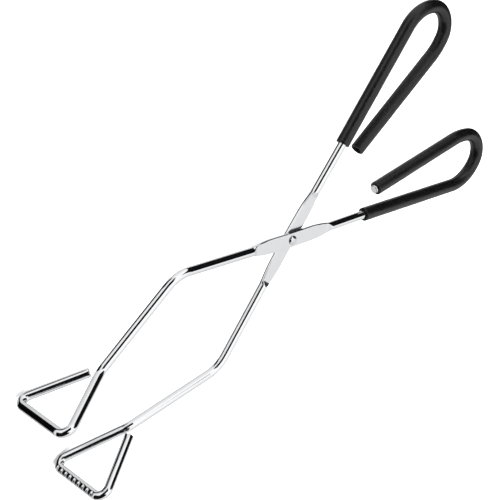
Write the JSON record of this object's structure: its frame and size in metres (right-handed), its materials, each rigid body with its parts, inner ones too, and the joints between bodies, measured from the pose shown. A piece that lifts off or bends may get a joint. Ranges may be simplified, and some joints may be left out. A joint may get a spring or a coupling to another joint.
{
  "type": "scissor tongs",
  "caption": "Long wire scissor tongs: crossed chromed arms on one rivet, closed triangular jaws and black sleeved finger loops.",
  "frame": {"origin": "the middle of the footprint at rest, level with the lowest corner of the jaws", "axes": "+Z along the rivet, out of its head; +X from the jaws to the finger loops; the arms swing parallel to XY, the upper arm's jaw on the +Y side"},
  "size_m": [0.3994, 0.1582, 0.055],
  "materials": {
    "chromed_wire": "bright chrome plate over drawn steel wire",
    "rivet_steel": "plated steel, slightly duller than the arms",
    "black_vinyl": "satin black soft vinyl tube"
  },
  "bodies": {
    "upper": {"upper_arm": "chromed_wire", "pivot_rivet": "rivet_steel", "upper_grip_sleeve": "black_vinyl"},
    "lower": {"lower_arm": "chromed_wire", "lower_grip_sleeve": "black_vinyl"}
  },
  "joints": [
    {"name": "scissor_pivot", "type": "hinge", "parent": "upper", "child": "lower", "pos_m": [0.01135, 0, 0.02752], "axis": [0, 0, 1], "range_deg": [-15.5, 45]}
  ]
}
